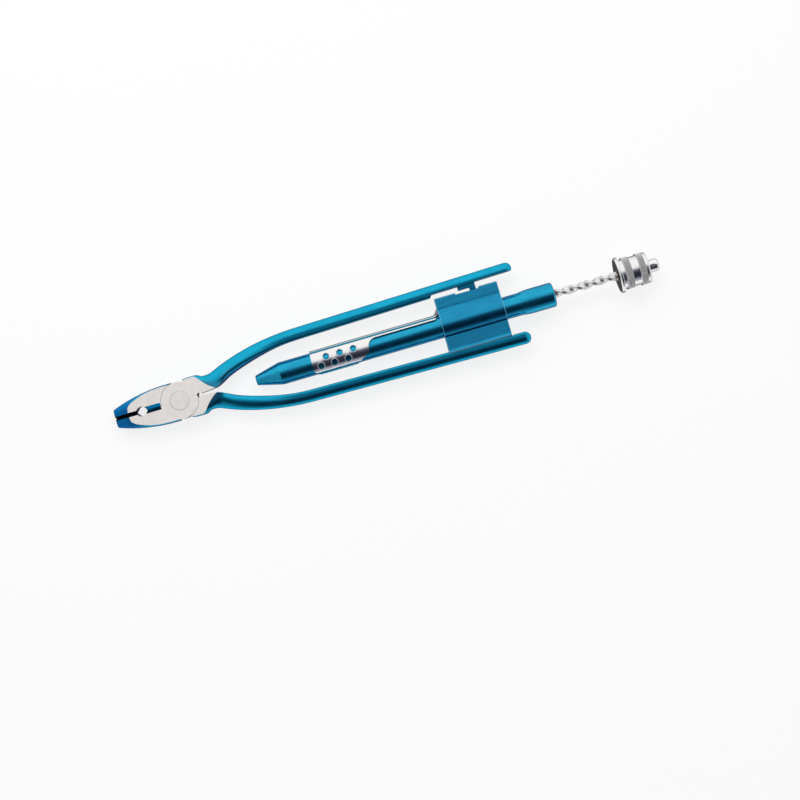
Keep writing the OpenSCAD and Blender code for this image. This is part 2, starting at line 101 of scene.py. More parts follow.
# Stretches along the tool over which one form of the handle goes over into the next
ROOT_CUT_X = (ROOT_START, 7.0)
SHOULDER_X = (12.4, 16.6)
GROUND_X = (22.0, 32.0)
HOLLOW_X = (23.0, 34.0)
TWIST_IN_X, TWIST_OUT_X = (23.0, 32.0), (42.0, 70.0)
SWELL_X = (24.0, 50.0)
SLIM_X = (26.0, 72.0)
CREST_X = (34.0, 62.0)
BOW_R = 135.0
LEAN = math.radians(0.65)
HANDLE_R = 3.63
HANDLE_END = 208.5
# Flat milled in the upper handle for the hook
FLAT_FROM = 158.5
FLAT_DEPTH = 1.7

# Tube and shield
TUBE_R = 6.7
TUBE_WALL = 0.8
TUBE_X0, CONE_X, FLARE_X, TUBE_X1 = 46.0, 61.0, 207.0, 228.2
NOSE_R = 2.9
FLARE_R = 7.35
MOUTH_R = 4.6
SHIELD_X0, SHIELD_X1 = 159.5, 197.7
SHIELD_T = 0.9
SHIELD_HALF = 2.95
SHIELD_SEAT = 0.9
SHIELD_GAP = 0.05
NOTCH_X0, NOTCH_X1 = 172.3, 186.6
FOLD_R = 0.2
# The flat sides splay below the tube and close in above it, and the hem at the fold stands out
SPLAY_BELOW, CLOSE_ABOVE, HEM_OUT = 0.085, 0.10, 0.3

# Slide
SLIDE_R = 6.85
SLIDE_T = 0.9
SLIDE_MEAN = SLIDE_R + SLIDE_T / 2.0
PAD_X = 80.5
PAD_LOW = -7.2
STRIP_LOW = 4.9
STRIP_X1 = 174.3
HOLE_R = 1.9
HOLE_PITCH = 8.25
# Two rows of holes, as the first hole's place along the tool and the row's angle from the top
HOLE_ROWS = ((89.5, math.radians(74.5)), (85.4, math.radians(110.5)))
HOLES = [(start + HOLE_PITCH * i, angle) for start, angle in HOLE_ROWS for i in range(3)]

# Rod, knob and stub
LEAD = 18.65
TWIST_X0, TWIST_X1 = 105.0, 266.5
BAR_HALF_WIDE, BAR_HALF_THIN = 2.48, 1.4
SHANK_R = 1.88
KNOB_X = 266.9
KNOB_LEN = 18.6
FLANGE_R = 10.68
GROOVE_R = 8.8
RIM_R = 9.2
RECESS_R, RECESS_FLOOR = 4.6, 15.6
BUSH_R = 2.9
KNURL_R = 9.6
KNURL_COUNT = 60
KNURL_DEPTH = 0.32
KNURL_BANDS = ((KNOB_X + 4.5, KNOB_X + 7.7), (KNOB_X + 13.1, KNOB_X + 16.0))
STUB_X0, STUB_X1 = 283.4, 292.1
STUB_R, STUB_BORE = 3.7, 1.95
SLOT_X0, SLOT_X1, SLOT_R = 287.1, 288.9, 0.85


def soft_step(low, high, x):
    u = np.clip((x - low) / (high - low), 0.0, 1.0)
    return u * u * (3.0 - 2.0 * u)


def soft_max(a, b, width):
    blend = np.clip(1.0 - np.abs(a - b) / width, 0.0, None)
    return np.maximum(a, b) + 0.25 * width * blend * blend


def turn(points, angle):
    """Points turned about the pivot, in plan."""
    c, s = math.cos(angle), math.sin(angle)
    x, y = points[:, 0], points[:, 1]
    return np.column_stack((c * x - s * y, s * x + c * y, points[:, 2]))


# Mesh making


def mesh_object(name, points, faces):
    mesh = bpy.data.meshes.new(name)
    mesh.from_pydata([tuple(p) for p in points], [], faces)
    mesh.update()
    obj = bpy.data.objects.new(name, mesh)
    bpy.context.scene.collection.objects.link(obj)
    face_outwards(obj)
    return obj


def face_outwards(obj):
    shell = bmesh.new()
    shell.from_mesh(obj.data)
    bmesh.ops.recalc_face_normals(shell, faces=shell.faces)
    shell.to_mesh(obj.data)
    shell.free()


def discard(obj):
    """Takes away a piece that only served to make another."""
    spare = obj.data
    bpy.data.objects.remove(obj)
    bpy.data.meshes.remove(spare)


def points_of(obj):
    flat = np.empty(len(obj.data.vertices) * 3)
    obj.data.vertices.foreach_get("co", flat)
    return flat.reshape(-1, 3)


def set_points(obj, points):
    obj.data.vertices.foreach_set("co", points.ravel())
    obj.data.update()


def skin(rows, cols, around=True, along=False, first=0):
    """Quads over a grid of points, closed around its columns and, for a ring, along its rows."""
    row_ends = rows if along else rows - 1
    col_ends = cols if around else cols - 1
    faces = []
    for i in range(row_ends):
        here = first + i * cols
        there = first + (i + 1) % rows * cols
        for j in range(col_ends):
            k = (j + 1) % cols
            faces.append((here + j, there + j, there + k, here + k))
    return faces


def lofted(rings):
    """Points and faces of a closed body through rings of equal count."""
    rows, cols = len(rings), len(rings[0])
    faces = skin(rows, cols)
    faces.append(tuple(range(cols)))
    faces.append(tuple((rows - 1) * cols + j for j in range(cols)))
    return np.concatenate(rings), faces


def merged(*parts):
    """Several sets of points and faces as one set."""
    points, faces, count = [], [], 0
    for some_points, some_faces in parts:
        points.append(np.asarray(some_points, float))
        faces.extend(tuple(i + count for i in face) for face in some_faces)
        count += len(some_points)
    return np.concatenate(points), faces


def prism(outline, low, high):
    """A flat outline drawn out between two heights."""
    outline = np.asarray(outline, float)
    return lofted([np.column_stack((outline, np.full(len(outline), z))) for z in (low, high)])


def trough(section, x0, x1):
    """A section of (y, z) drawn out along the tool."""
    section = np.asarray(section, float)
    return lofted([np.column_stack((np.full(len(section), x), section)) for x in (x0, x1)])


def circle(x, y, r, count=96):
    a = np.linspace(0.0, 2.0 * np.pi, count, endpoint=False)
    return np.column_stack((x + r * np.cos(a), y + r * np.sin(a)))


def eased(corners, closed=False, steps=6):
    """A path through corners (u, v, radius), each turned on an arc of its own radius."""
    path = []
    count = len(corners)
    for i, (u, v, radius) in enumerate(corners):
        here = np.array((u, v), float)
        inside = closed or 0 < i < count - 1
        if radius <= 0.0 or not inside:
            path.append(here)
            continue
        back = np.array(corners[i - 1][:2], float) - here
        ahead = np.array(corners[(i + 1) % count][:2], float) - here
        back_len, ahead_len = np.linalg.norm(back), np.linalg.norm(ahead)
        back, ahead = back / back_len, ahead / ahead_len
        half = 0.5 * math.acos(float(np.clip(back @ ahead, -1.0, 1.0)))
        cut = min(radius / math.tan(half), 0.49 * back_len, 0.49 * ahead_len)
        true_r = cut * math.tan(half)
        middle = here + (back + ahead) / np.linalg.norm(back + ahead) * true_r / math.sin(half)
        start, stop = here + back * cut - middle, here + ahead * cut - middle
        sweep = math.pi - 2.0 * half
        for k in range(steps + 1):
            t = k / steps
            way = (math.sin((1.0 - t) * sweep) * start + math.sin(t * sweep) * stop) / math.sin(sweep)
            path.append(middle + way)
    return np.array(path)


def turned(profile, segments=96, closed=False, surface=None):
    """A profile of (x, r) turned about the tube's axis; surface may change the radius of each point."""
    a = np.linspace(0.0, 2.0 * np.pi, segments, endpoint=False)
    rings = []
    for x, r in np.asarray(profile, float):
        radius = np.full(segments, r) if surface is None else surface(x, r, a)
        y, z = TUBE_Y + radius * np.cos(a), MID_Z + radius * np.sin(a)
        rings.append(np.column_stack((np.full(segments, x), y, z)))
    if closed:
        return np.concatenate(rings), skin(len(rings), segments, along=True)
    return lofted(rings)


def settle(obj):
    """Applies the modifiers of a piece to its mesh."""
    bpy.context.view_layer.update()
    graph = bpy.context.evaluated_depsgraph_get()
    made = bpy.data.meshes.new_from_object(obj.evaluated_get(graph))
    obj.modifiers.clear()
    old = obj.data
    obj.data = made
    bpy.data.meshes.remove(old)


def carve(obj, part, operation="DIFFERENCE"):
    """Cuts a part out of a piece, adds it, or keeps what both share."""
    tool = mesh_object("cutter", *part)
    step = obj.modifiers.new("carve", "BOOLEAN")
    step.operation = operation
    step.solver = "EXACT"
    step.object = tool
    settle(obj)
    discard(tool)


def softened(obj, width, steps=2, angle=40.0):
    """Small rounds on a piece's sharp edges."""
    step = obj.modifiers.new("soften", "BEVEL")
    step.width = width
    step.segments = steps
    step.limit_method = "ANGLE"
    step.angle_limit = math.radians(angle)
    settle(obj)


def fitted(obj, finish, body, slot_name, *nodes, crease=30.0):
    """Brings a piece to metres, gives it its finish and hangs it on its body."""
    obj.data.transform(Matrix.Scale(MM, 4))
    obj.data.materials.clear()
    obj.data.materials.append(finish)
    obj.data.shade_smooth()
    obj.data.set_sharp_from_angle(angle=math.radians(crease))
    step = obj.modifiers.new("even_normals", "WEIGHTED_NORMAL")
    step.keep_sharp = True
    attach(obj, body)
    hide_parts(*nodes)


# Finishes


class Value:
    """A socket of a finish, with the sums that the finishes use."""

    def __init__(self, finish, socket):
        self.finish = finish
        self.socket = socket

    def sum(self, operation, *values):
        return self.finish.node("ShaderNodeMath", {"operation": operation}, dict(enumerate(values)))

    def __add__(self, other):
        return self.sum("ADD", self, other)

    def __radd__(self, other):
        return self.sum("ADD", other, self)

    def __sub__(self, other):
        return self.sum("SUBTRACT", self, other)

    def __rsub__(self, other):
        return self.sum("SUBTRACT", other, self)

    def __mul__(self, other):
        return self.sum("MULTIPLY", self, other)

    def __rmul__(self, other):
        return self.sum("MULTIPLY", other, self)

    def __truediv__(self, other):
        return self.sum("DIVIDE", self, other)

    def __gt__(self, other):
        return self.sum("GREATER_THAN", self, other)

    def __lt__(self, other):
        return self.sum("LESS_THAN", self, other)

    def __abs__(self):
        return self.sum("ABSOLUTE", self)

    def ramp(self, low, high, to_low=0.0, to_high=1.0):
        """The value stretched from one range to another, and kept inside it."""
        return self.finish.node(
            "ShaderNodeMapRange",
            {"interpolation_type": "SMOOTHSTEP"},
            {"Value": self, "From Min": low, "From Max": high, "To Min": to_low, "To Max": to_high},
        )


class Finish:
    """A node tree and the few ways in which the finishes are put together."""

    def __init__(self, tree):
        self.tree = tree
        self.tree.nodes.clear()

    def node(self, kind, settings=None, sockets=None, out=0):
        made = self.tree.nodes.new(kind)
        for key, value in (settings or {}).items():
            if key == "stops":
                ramp = made.color_ramp
                while len(ramp.elements) < len(value):
                    ramp.elements.new(0.5)
                for element, (place, shade) in zip(ramp.elements, value):
                    element.position = place
                    element.color = (*shade, 1.0)
            else:
                setattr(made, key, value)
        for key, value in (sockets or {}).items():
            if isinstance(value, Value):
                self.tree.links.new(value.socket, made.inputs[key])
            else:
                made.inputs[key].default_value = value
        return Value(self, made.outputs[out]) if len(made.outputs) else None

    def outputs(self, value, *keys):
        """Several outputs of the node that a value comes from."""
        return [Value(self, value.socket.node.outputs[key]) for key in keys]

    def place(self):
        return self.node("ShaderNodeTexCoord", out=3)

    def axes(self, vector):
        return self.outputs(self.node("ShaderNodeSeparateXYZ", sockets={0: vector}), 0, 1, 2)

    def scaled(self, vector, scale):
        return self.node("ShaderNodeVectorMath", {"operation": "MULTIPLY"}, {0: vector, 1: scale})

    def noise(self, vector, scale, detail, rough):
        sockets = {"Vector": vector, "Scale": scale, "Detail": detail, "Roughness": rough}
        return self.node("ShaderNodeTexNoise", sockets=sockets)

    def mixed(self, share, a, b):
        return self.node("ShaderNodeMix", {"data_type": "RGBA"}, {0: share, 6: a, 7: b}, out=2)

    def bumped(self, height, depth, strength):
        sockets = {"Height": height, "Distance": depth * MM, "Strength": strength}
        return self.node("ShaderNodeBump", sockets=sockets)

    def surface(self, **sockets):
        names = {key.replace("_", " "): value for key, value in sockets.items()}
        shader = self.node("ShaderNodeBsdfPrincipled", sockets=names)
        self.node("ShaderNodeOutputMaterial", sockets={0: shader})


def new_finish(name):
    material = bpy.data.materials.new(name)
    material.use_nodes = True
    return material, Finish(material.node_tree)


def rgb(r, g, b):
    return (r, g, b, 1.0)


COAT_BRIGHT = rgb(0.012, 0.44, 0.66)
COAT_DEEP = rgb(0.003, 0.145, 0.37)
COAT_WORN = rgb(0.20, 0.42, 0.52)
# Painted highlight along the shield's edges
COAT_PAINTED_HIGHLIGHT = rgb(0.24, 0.60, 0.80)
# Painted shade: deeper blue on the nose, in place of its darker reflection
NOSE_PAINTED_SHADE = rgb(0.004, 0.15, 0.46)
COAT_EDGE = rgb(0.0, 0.02, 0.06)
# Painted shade for the gap between the jaws
BITE_PAINTED_SHADE = rgb(0.012, 0.013, 0.018)
PLATE_EDGE = rgb(0.06, 0.06, 0.06)
# Ground steel as its light and dark mottle and its grinding lines
HEAD_STEEL = (rgb(0.93, 0.885, 0.845), rgb(0.86, 0.815, 0.775), rgb(0.66, 0.61, 0.57))
RIVET_STEEL = (rgb(0.92, 0.875, 0.835), rgb(0.84, 0.795, 0.755), rgb(0.65, 0.60, 0.56))


def coat_colour(f, place):
    """Candy blue over bright metal: cloudy depth, fine flake and a few rubbed specks."""
    cloud = f.noise(place, 95.0, 4.0, 0.6).ramp(0.3, 0.72)
    flake = f.noise(place, 2600.0, 2.0, 0.5).ramp(0.35, 0.7)
    rubbed = f.noise(place, 520.0, 5.0, 0.7).ramp(0.70, 0.78)
    depth = 0.18 * cloud + 0.10 * flake
    colour = f.mixed(depth, COAT_BRIGHT, COAT_DEEP)
    return f.mixed(0.35 * rubbed, colour, COAT_WORN), cloud, flake, rubbed


def sheet_painted_highlights(f, place):
    """Painted highlights on the shield: light lines along both ends, the open edges and the fold on the
    lower handle.
    """
    x, y = f.axes(place)[:2]
    half = 0.5 * (SHIELD_X1 - SHIELD_X0)
    ends = abs(x - SHIELD_MID * MM).ramp((half - 0.5) * MM, (half - 0.2) * MM)
    top = y.ramp((SHIELD_TOP - 0.75) * MM, (SHIELD_TOP - 0.5) * MM)
    fold = y.ramp((SEAT_Y + 0.7) * MM, (SEAT_Y + 1.05) * MM, 1.0, 0.0)
    return ends + top + fold > 0.5


def blue_coat(name, grain, depth, gloss, edges=None):
    """Metallic blue coat; grain stretches the brushing that shows through it, depth makes it darker."""
    material, f = new_finish(name)
    place = f.place()
    colour, cloud, flake, rubbed = coat_colour(f, place)
    colour = f.mixed(depth, colour, COAT_DEEP)
    brushed = f.noise(f.scaled(place, grain), 1.0, 3.0, 0.6)
    streak = brushed.ramp(0.35, 0.68)
    colour = f.mixed(0.30 * streak, colour, COAT_DEEP)
    # Painted highlight: a lighter coat along the edges that the mask picks out
    if edges is not None:
        colour = f.mixed(edges(f, place) * (0.55 + 0.3 * cloud), colour, COAT_PAINTED_HIGHLIGHT)
    f.surface(
        Base_Color=colour, Metallic=1.0, Roughness=0.15 + 0.06 * cloud + 0.10 * streak + 0.16 * rubbed,
        Specular_Tint=COAT_EDGE, Coat_Weight=gloss, Coat_Roughness=0.12,
        Normal=f.bumped(0.6 * brushed + 0.3 * flake, 0.012, 0.6),
    )
    return material


def ground_face(f, place, light, dark, scored):
    """Colour of ground steel, its grinding lines and its roughness."""
    lines = f.noise(f.scaled(place, (160.0, 2600.0, 400.0)), 1.0, 3.0, 0.6)
    mottle = f.noise(place, 240.0, 4.0, 0.6).ramp(0.3, 0.7)
    steel = f.mixed(mottle, light, dark)
    steel = f.mixed(0.25 * lines.ramp(0.35, 0.65), steel, scored)
    return steel, lines, 0.46 + 0.12 * mottle


def lever_coat(name):
    """Blue coat on the forged skin, bare steel where the two faces of the head are ground."""
    material, f = new_finish(name)
    place = f.place()
    x, y, z = f.axes(place)
    height = abs(z - MID_Z * MM)
    ground = height > (FACE - 0.015) * MM
    rim = height.ramp((FACE - 0.45) * MM, (FACE - 0.02) * MM) * (1.0 - ground)
    colour, cloud, flake, rubbed = coat_colour(f, place)
    colour = f.mixed(0.22 * rim, colour, COAT_WORN)
    # Painted shade: the coat turns deeper blue towards the tip of the jaws
    colour = f.mixed(x.ramp(NOSE_X * MM, (NOSE_X + 15.0) * MM, 0.9, 0.0), colour, NOSE_PAINTED_SHADE)
    # Painted shade: the gap between the jaws is coloured near black, darker the deeper it lies below the
    # ground face
    between = (x < BITE_X * MM) * (abs(y) < BITE_HALF * MM)
    jaw_gap_painted_shade = between * (1.0 - height.ramp((FACE - 1.8) * MM, (FACE - 0.6) * MM))
    colour = f.mixed(jaw_gap_painted_shade, colour, BITE_PAINTED_SHADE)
    steel, lines, steel_rough = ground_face(f, place, *HEAD_STEEL)
    grit = f.noise(place, 4200.0, 2.0, 0.6)
    coat_rough = 0.17 + 0.08 * cloud + 0.18 * rubbed + 0.35 * jaw_gap_painted_shade
    relief = ground * (0.7 * lines + 0.5 * grit) + (1.0 - ground) * (0.3 * flake + 0.5 * cloud)
    f.surface(
        Base_Color=f.mixed(ground, colour, steel), Metallic=1.0 - 0.75 * ground,
        Roughness=coat_rough + ground * (steel_rough - coat_rough),
        Specular_Tint=COAT_EDGE, Coat_Weight=0.06 * (1.0 - ground), Coat_Roughness=0.12,
        Normal=f.bumped(relief, 0.015, 0.7),
    )
    return material


def ground_steel(name):
    """Bare rivet heads, faced with the head in one pass."""
    material, f = new_finish(name)
    steel, lines, rough = ground_face(f, f.place(), *RIVET_STEEL)
    f.surface(Base_Color=steel, Metallic=0.25, Roughness=rough, Normal=f.bumped(lines, 0.012, 0.7))
    return material


def bright_plate(name):
    """Polished plate with soft smears, pin specks and hairlines."""
    material, f = new_finish(name)
    place = f.place()
    smear = f.noise(f.scaled(place, (60.0, 160.0, 160.0)), 1.0, 4.0, 0.6).ramp(0.35, 0.75)
    hair = f.noise(f.scaled(place, (300.0, 5200.0, 5200.0)), 1.0, 2.0, 0.6).ramp(0.60, 0.72)
    speck = f.noise(place, 1900.0, 2.0, 0.5).ramp(0.70, 0.76)
    colour = f.mixed(0.5 * smear, rgb(0.93, 0.92, 0.91), rgb(0.84, 0.83, 0.83))
    colour = f.mixed(0.5 * speck, colour, rgb(0.55, 0.53, 0.52))
    f.surface(
        Base_Color=colour, Metallic=1.0, Roughness=0.06 + 0.07 * smear + 0.10 * hair + 0.2 * speck,
        Specular_Tint=PLATE_EDGE, Normal=f.bumped(smear + 0.4 * hair, 0.006, 0.5),
    )
    return material


def knurl_plate(name):
    """Plated knob: polished grooves and rims, duller knurl, darker in its valleys and lighter on its crests.
    """
    material, f = new_finish(name)
    place = f.place()
    x, y, z = f.axes(place)
    up, out = y - TUBE_Y * MM, z - MID_Z * MM
    radius = f.node("ShaderNodeMath", {"operation": "SQRT"}, {0: up * up + out * out})
    margin = 0.4
    front, rear = (
        (x > (low - margin) * MM) * (x < (high + margin) * MM) for low, high in KNURL_BANDS
    )
    band = (front + rear) * (radius > (KNURL_R - 0.6) * MM)
    valley = band * (1.0 - radius.ramp((KNURL_R - 0.3) * MM, (KNURL_R - 0.1) * MM))
    crest = band * radius.ramp((KNURL_R - 0.1) * MM, KNURL_R * MM)
    smear = f.noise(place, 160.0, 4.0, 0.6).ramp(0.35, 0.75)
    turning = f.noise(f.scaled(place, (5200.0, 60.0, 60.0)), 1.0, 2.0, 0.5)
    colour = f.mixed(0.5 * smear, rgb(0.93, 0.92, 0.91), rgb(0.82, 0.81, 0.81))
    colour = f.mixed(0.35 * band, colour, rgb(0.46, 0.44, 0.43))
    colour = f.mixed(0.8 * valley, colour, rgb(0.16, 0.15, 0.15))
    colour = f.mixed(0.4 * crest, colour, rgb(0.95, 0.95, 0.94))
    f.surface(
        Base_Color=colour, Metallic=1.0 - 0.12 * band,
        Roughness=0.08 + 0.07 * smear + 0.12 * band + 0.15 * valley,
        Specular_Tint=PLATE_EDGE, Normal=f.bumped(turning, 0.004, 0.5),
    )
    return material


def rod_steel(name):
    """Bright drawn bar: fine draw lines and a grey film in places."""
    material, f = new_finish(name)
    place = f.place()
    drawn = f.noise(f.scaled(place, (120.0, 3000.0, 3000.0)), 1.0, 3.0, 0.6)
    film = f.noise(place, 210.0, 4.0, 0.6).ramp(0.4, 0.75)
    f.surface(
        Base_Color=f.mixed(film, rgb(0.90, 0.885, 0.87), rgb(0.74, 0.725, 0.71)), Metallic=1.0,
        Roughness=0.27 + 0.10 * film + 0.06 * drawn,
        Specular_Tint=PLATE_EDGE, Normal=f.bumped(drawn, 0.010, 0.6),
    )
    return material


def plain_metal(name, light, dark, low, high):
    """Turned inner pieces: rings of the tool, stains and a dull bloom."""
    material, f = new_finish(name)
    place = f.place()
    rings = f.noise(f.scaled(place, (3400.0, 90.0, 90.0)), 1.0, 3.0, 0.6)
    stain = f.noise(place, 300.0, 5.0, 0.65).ramp(0.35, 0.7)
    f.surface(
        Base_Color=f.mixed(stain, light, dark), Metallic=1.0, Roughness=low + (high - low) * stain,
        Normal=f.bumped(rings, 0.012, 0.6),
    )
    return material


# Levers

BOW_X = NECK[0] + BOW_R * math.sin(NECK_ANGLE)
BOW_Y = NECK[1] - BOW_R * math.cos(NECK_ANGLE)
BOW_END_X = BOW_X - BOW_R * math.sin(LEAN)
BOW_END_Y = BOW_Y + BOW_R * math.cos(LEAN)


def handle_line(x):
    """Height and slope of the handle's middle line, jaws shut."""
    if x >= BOW_END_X:
        return BOW_END_Y + (x - BOW_END_X) * math.tan(LEAN), math.tan(LEAN)
    rise = math.sqrt(BOW_R ** 2 - (x - BOW_X) ** 2)
    return BOW_Y + rise, (BOW_X - x) / rise


def jaw_edge(x):
    """Half width of the head along the jaws, an arc that is level at its crown."""
    run = JAW_REACH + JAW_CROWN
    rise = HEAD_HALF - TIP_HALF
    r = (run * run + rise * rise) / (2.0 * rise)
    return HEAD_HALF - r + math.sqrt(r * r - (x - JAW_CROWN) ** 2)


def ground_section(x, inner, outer, height, crest, wall):
    """Ring across a lever, forged round and ground flat on both faces; wall squares its inner side."""
    fine = np.linspace(0.0, 1.0, 1201)
    tall = height(inner + (outer - inner) * fine, fine) >= FACE
    first = last = crest
    if tall.any():
        first, last = fine[tall.argmax()], fine[len(fine) - 1 - tall[::-1].argmax()]
    spread = max(0.0, 0.12 - (last - first)) / 2.0
    first, last = max(0.0, first - spread), min(1.0, last + spread)
    bend = np.sin(0.5 * np.pi * np.linspace(0.0, 1.0, 13))
    left = [0.0] if wall else first * (1.0 - bend[:0:-1])
    share = np.concatenate((left, np.linspace(first, last, 7), last + (1.0 - last) * bend[1:]))
    y = inner + (outer - inner) * share
    z = np.minimum(height(y, share), FACE)
    z[-1] = 0.0
    z[0] = 0.0
    if wall:
        y[1] = inner
    top = np.column_stack((np.full(len(y), x), y, z))
    under = top[-2:0:-1] * (1.0, 1.0, -1.0)
    return np.concatenate((top, under))


def jaw():
    """Lower jaw: square gripping face, rounded back, nose thinned to the tip."""
    at_tip = (0.0, 0.1, 0.28, TIP_ROUND)
    rings = []
    for x in np.concatenate((at_tip, np.linspace(1.0, JAW_REACH + JAW_SHOULDER, 74))):
        inset = TIP_ROUND * (1.0 - math.sqrt(1.0 - (1.0 - min(x / TIP_ROUND, 1.0)) ** 2))
        station = x - JAW_REACH
        back = max(0.0, JAW_THIN_X - station)
        tip = max(0.0, NOSE_X - station) / (JAW_REACH + NOSE_X)
        tall = JAW_THICK + JAW_SWELL * soft_step(*JAW_SWELL_X, station)
        tall = float(tall - JAW_SLOPE * back - JAW_CURVE * back * back) - NOSE_DROP * tip * tip - inset

        def height(y, share, tall=tall):
            return tall * np.maximum(0.0, 1.0 - share ** 4) ** 0.25

        outer = jaw_edge(station) - inset
        rings.append(ground_section(station, JAW_GAP, outer, height, 0.0, True) * (1.0, -1.0, 1.0))
    return lofted(rings)


def handle_ring(x, shrink):
    """Ring across the handle's root, neck or bar; shrink draws the bar together at its end."""
    middle, slope = handle_line(x)
    bar = (NECK_R + (HANDLE_R - NECK_R) * soft_step(*SLIM_X, x)) * shrink
    reach = bar * math.sqrt(1.0 + slope * slope)
    outer = middle + reach
    if x < GROUND_X[1]:
        shoulder = SHOULDER_RISE * (1.0 - soft_step(*SHOULDER_X, x))
        root_edge = ROOT_EDGE + shoulder - ROOT_CUT * (1.0 - soft_step(*ROOT_CUT_X, x))
        outer = soft_max(root_edge, outer, 0.9)
    inner = middle - reach - (1.0 - soft_step(*HOLLOW_X, x))
    if x < HOLLOW_X[1]:
        inner = soft_max(SLIT_HALF + SLIT_FLARE * max(0.0, x - SLIT_OPENS_X), inner, 0.7)
    along_bow = soft_step(*CREST_X, x)
    crest = 0.29 + 0.13 * along_bow
    fall = 0.55 - 0.35 * along_bow

    def height(y, share):
        away = BROW_R - np.hypot(min(x, BROW_X) - BROW_X, y - BROW_Y) + max(0.0, x - BROW_X)
        rounding = soft_step(-1.0, 6.0, away)
        thick = bar + NECK_SWELL * (1.0 - soft_step(*SWELL_X, x))
        tall = thick + (FACE - thick) * (1.0 - soft_step(-0.6, 5.0, away))
        tall = tall + BROW_RISE * (1.0 - soft_step(-2.5, 0.3, away))
        across = np.where(share < crest, share / crest - 1.0, (share - crest) / (1.0 - crest))
        power = np.where(across > 0.0, 6.0 - 4.0 * rounding, 40.0 - 32.5 * rounding)
        drop = np.sqrt(1.0 - (fall * rounding * np.minimum(across, 0.0)) ** 2)
        return tall * drop * np.maximum(0.0, 1.0 - np.abs(across) ** power) ** (1.0 / power)

    ground_at = 0.06 + (crest - 0.06) * soft_step(*GROUND_X, x)
    ring = ground_section(x, inner, outer, height, ground_at, False)
    twist = NECK_TWIST * soft_step(*TWIST_IN_X, x) * (1.0 - soft_step(*TWIST_OUT_X, x))
    c, s = math.cos(twist), math.sin(twist)
    across, up = ring[:, 1] - middle, ring[:, 2]
    return np.column_stack((ring[:, 0], middle + c * across + s * up, c * up - s * across))


def handle():
    """Handle root beside the slit, neck and round bar, in one forging."""
    bar_end = HANDLE_END - HANDLE_R
    stations = np.concatenate((
        np.linspace(ROOT_START, GROUND_X[1], 84),
        np.linspace(GROUND_X[1] + 0.6, 80.0, 68),
        np.linspace(82.0, FLAT_FROM - 1.5, 32),
        np.linspace(FLAT_FROM - 1.2, FLAT_FROM + 0.9, 12),
        (SHIELD_X0 - 0.06, SHIELD_X0 - 0.03),
        np.linspace(162.0, 196.0, 12),
        (SHIELD_X1 + 0.03, SHIELD_X1 + 0.06),
        np.linspace(199.0, bar_end, 4),
    ))
    rings = [handle_ring(x, 1.0) for x in stations]
    for a in np.linspace(0.0, 0.5 * np.pi, 13)[1:-1]:
        rings.append(handle_ring(bar_end + HANDLE_R * math.sin(a), math.cos(a)))
    return lofted(rings)


def both_faces(section, x0, x1):
    """The same cut in the upper and the lower face of the head."""
    mirrored = [(y, -z) for y, z in section]
    return merged(trough(section, x0, x1), trough(mirrored, x0, x1))


def lever_blank():
    """One lever with its handle above and its jaw below, before it is fitted."""
    blank = mesh_object("lever_blank", *merged(jaw(), handle()))
    carve(blank, prism(circle(0.0, 0.0, DISC_R + LAP_GAP, 144), -THROUGH, LAP_Z))
    carve(blank, prism(circle(0.0, 0.0, DISC_R, 144), LAP_Z, FACE), "UNION")
    carve(blank, prism(circle(0.0, 0.0, RIVET_R + RIVET_GAP), -THROUGH, THROUGH))
    carve(blank, prism(circle(SLIT_END_X, 0.0, SLIT_END_R, 40), -THROUGH, THROUGH))
    grip = circle(0.0, 0.0, 1.0, 64) * GRIP_HALVES + (GRIP_X, 0.0)
    carve(blank, prism(grip, -THROUGH, THROUGH))
    half, above = CUTTER_HALF, FACE + 4.0
    groove = [(-half, FACE), (0.0, CUTTER_Z), (half, FACE), (half, above), (-half, above)]
    carve(blank, both_faces(groove, *CUTTER_X))
    half, floor_half = RELIEF_HALF, RELIEF_FLOOR_HALF
    relief = [(-half, FACE), (-floor_half, RELIEF_Z), (floor_half, RELIEF_Z), (half, FACE)]
    relief += [(half, above), (-half, above)]
    carve(blank, both_faces(relief, *RELIEF_X))
    pitch = (JAW_REACH - TEETH_END) / TEETH
    teeth = []
    for i in range(TEETH):
        x = -JAW_REACH + (i + 0.5) * pitch
        diamond = [(x - TOOTH, 0.0), (x, -TOOTH), (x + TOOTH, 0.0), (x, TOOTH)]
        teeth.append(prism(diamond, -THROUGH, THROUGH))
    carve(blank, merged(*teeth))
    proud, floor_y = 0.3, -REBATE_DEPTH
    rebate = [(proud, REBATE_LOW), (floor_y, REBATE_LOW), (floor_y, 0.0), (proud, 0.0)]
    carve(blank, merged(*(trough(rebate, *stretch) for stretch in REBATES_X)))
    root_y = -0.9
    lip = [(root_y, LIP_LOW), (LIP_REACH, LIP_LOW), (LIP_REACH, LIP_HIGH), (root_y, LIP_HIGH)]
    carve(blank, merged(*(trough(lip, *stretch) for stretch in LIPS_X)), "UNION")
    return blank


